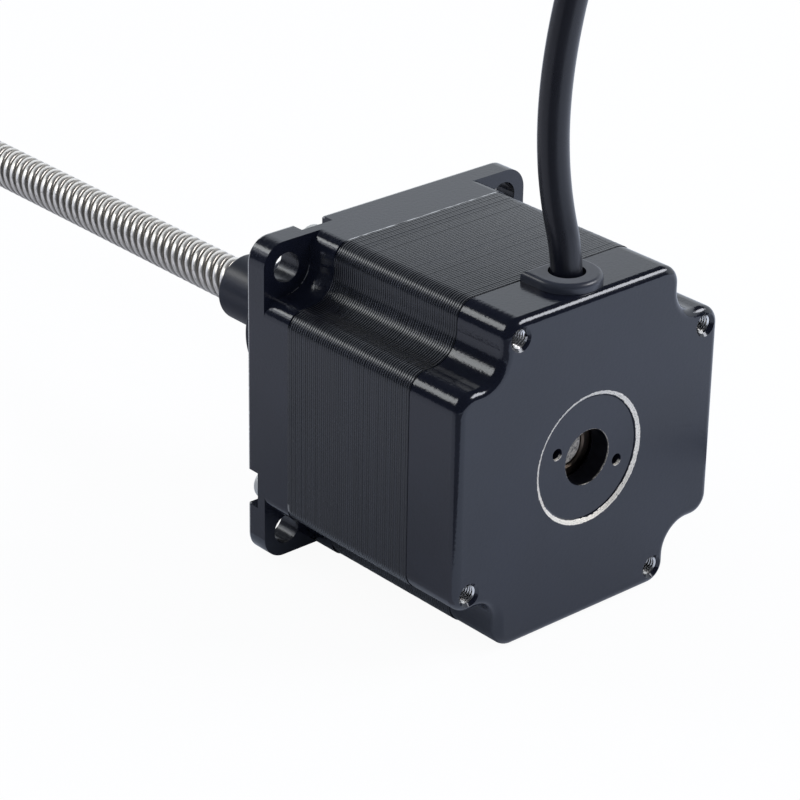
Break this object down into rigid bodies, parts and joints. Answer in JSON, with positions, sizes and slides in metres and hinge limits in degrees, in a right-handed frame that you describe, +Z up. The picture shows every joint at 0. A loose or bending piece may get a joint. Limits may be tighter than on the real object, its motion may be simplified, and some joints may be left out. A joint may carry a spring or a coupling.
{
  "type": "linear stepper motor",
  "caption": "External linear stepper motor: square black body with a mounting flange, a lead screw as the rotor shaft, a flanged nut on the screw and a jacketed cable.",
  "frame": {"origin": "centre of the mounting face, on the motor's axis", "axes": "+Y along the screw away from the motor, +Z up towards the cable outlet, +X to the right seen from behind the motor"},
  "size_m": [0.0994, 0.2485, 0.1364],
  "materials": {
    "painted_casting": "cast aluminium under satin black paint",
    "painted_laminations": "ribbed lamination edges under satin black paint",
    "plated_screw": "bright zinc plate",
    "winding": "enamelled copper wire",
    "insulator": "moulded off-white plastic",
    "bearing_steel": "ground bearing steel with an oil film",
    "polished_steel": "polished",
    "pressed_steel": "rolled sheet",
    "stainless_screw": "rolled stainless thread",
    "rotor_steel": "ground electrical steel",
    "magnet": "nickel-grey sintered",
    "nut_plastic": "turned black engineering plastic",
    "grommet_rubber": "moulded black rubber",
    "cable_jacket": "satin black extruded jacket",
    "lead_black": "extruded insulation",
    "lead_green": "extruded insulation",
    "lead_red": "extruded insulation",
    "lead_blue": "extruded insulation"
  },
  "bodies": {
    "housing": {"front_end_cap": "painted_casting", "rear_end_cap": "painted_casting", "stator_stack": "painted_laminations", "tie_bolts": "plated_screw", "stator_coils": "winding", "insulator_front": "insulator", "insulator_rear": "insulator", "inner_leads": "insulator", "front_bearing_outer": "bearing_steel", "front_bearing_shields": "pressed_steel", "rear_bearing_outer": "bearing_steel", "rear_bearing_shields": "pressed_steel", "preload_spring": "pressed_steel", "cable_grommet": "grommet_rubber", "cable_jacket": "cable_jacket", "lead_black": "lead_black", "lead_green": "lead_green", "lead_red": "lead_red", "lead_blue": "lead_blue"},
    "rotor": {"lead_screw": "stainless_screw", "rotor_front_cup": "rotor_steel", "rotor_rear_cup": "rotor_steel", "rotor_magnet": "magnet", "front_spacer": "pressed_steel", "rear_spacer": "pressed_steel", "front_bearing_inner": "bearing_steel", "rear_bearing_inner": "bearing_steel"},
    "front_ball_set": {"front_bearing_balls": "polished_steel", "front_bearing_cage": "pressed_steel"},
    "rear_ball_set": {"rear_bearing_balls": "polished_steel", "rear_bearing_cage": "pressed_steel"},
    "nut": {"lead_nut": "nut_plastic"}
  },
  "joints": [
    {"name": "screw_spin", "type": "hinge", "parent": "housing", "child": "rotor", "pos_m": [0, 0, 0], "axis": [0, 1, 0], "range_deg": [-4945, 580]},
    {"name": "nut_travel", "type": "slide", "parent": "housing", "child": "nut", "axis": [0, 1, 0], "range_m": [-0.013, 0.11]},
    {"name": "front_ball_orbit", "type": "hinge", "parent": "housing", "child": "front_ball_set", "pos_m": [0, -0.0055, 0], "axis": [0, 1, 0], "range_deg": [-1820, 214]},
    {"name": "rear_ball_orbit", "type": "hinge", "parent": "housing", "child": "rear_ball_set", "pos_m": [0, -0.0424, 0], "axis": [0, 1, 0], "range_deg": [-1810, 213]}
  ],
  "couplings": [
    {"joint": "nut_travel", "follows": "screw_spin", "m_per_rad": -0.0012732},
    {"joint": "front_ball_orbit", "follows": "screw_spin", "ratio": 0.36767},
    {"joint": "rear_ball_orbit", "follows": "screw_spin", "ratio": 0.36538}
  ]
}
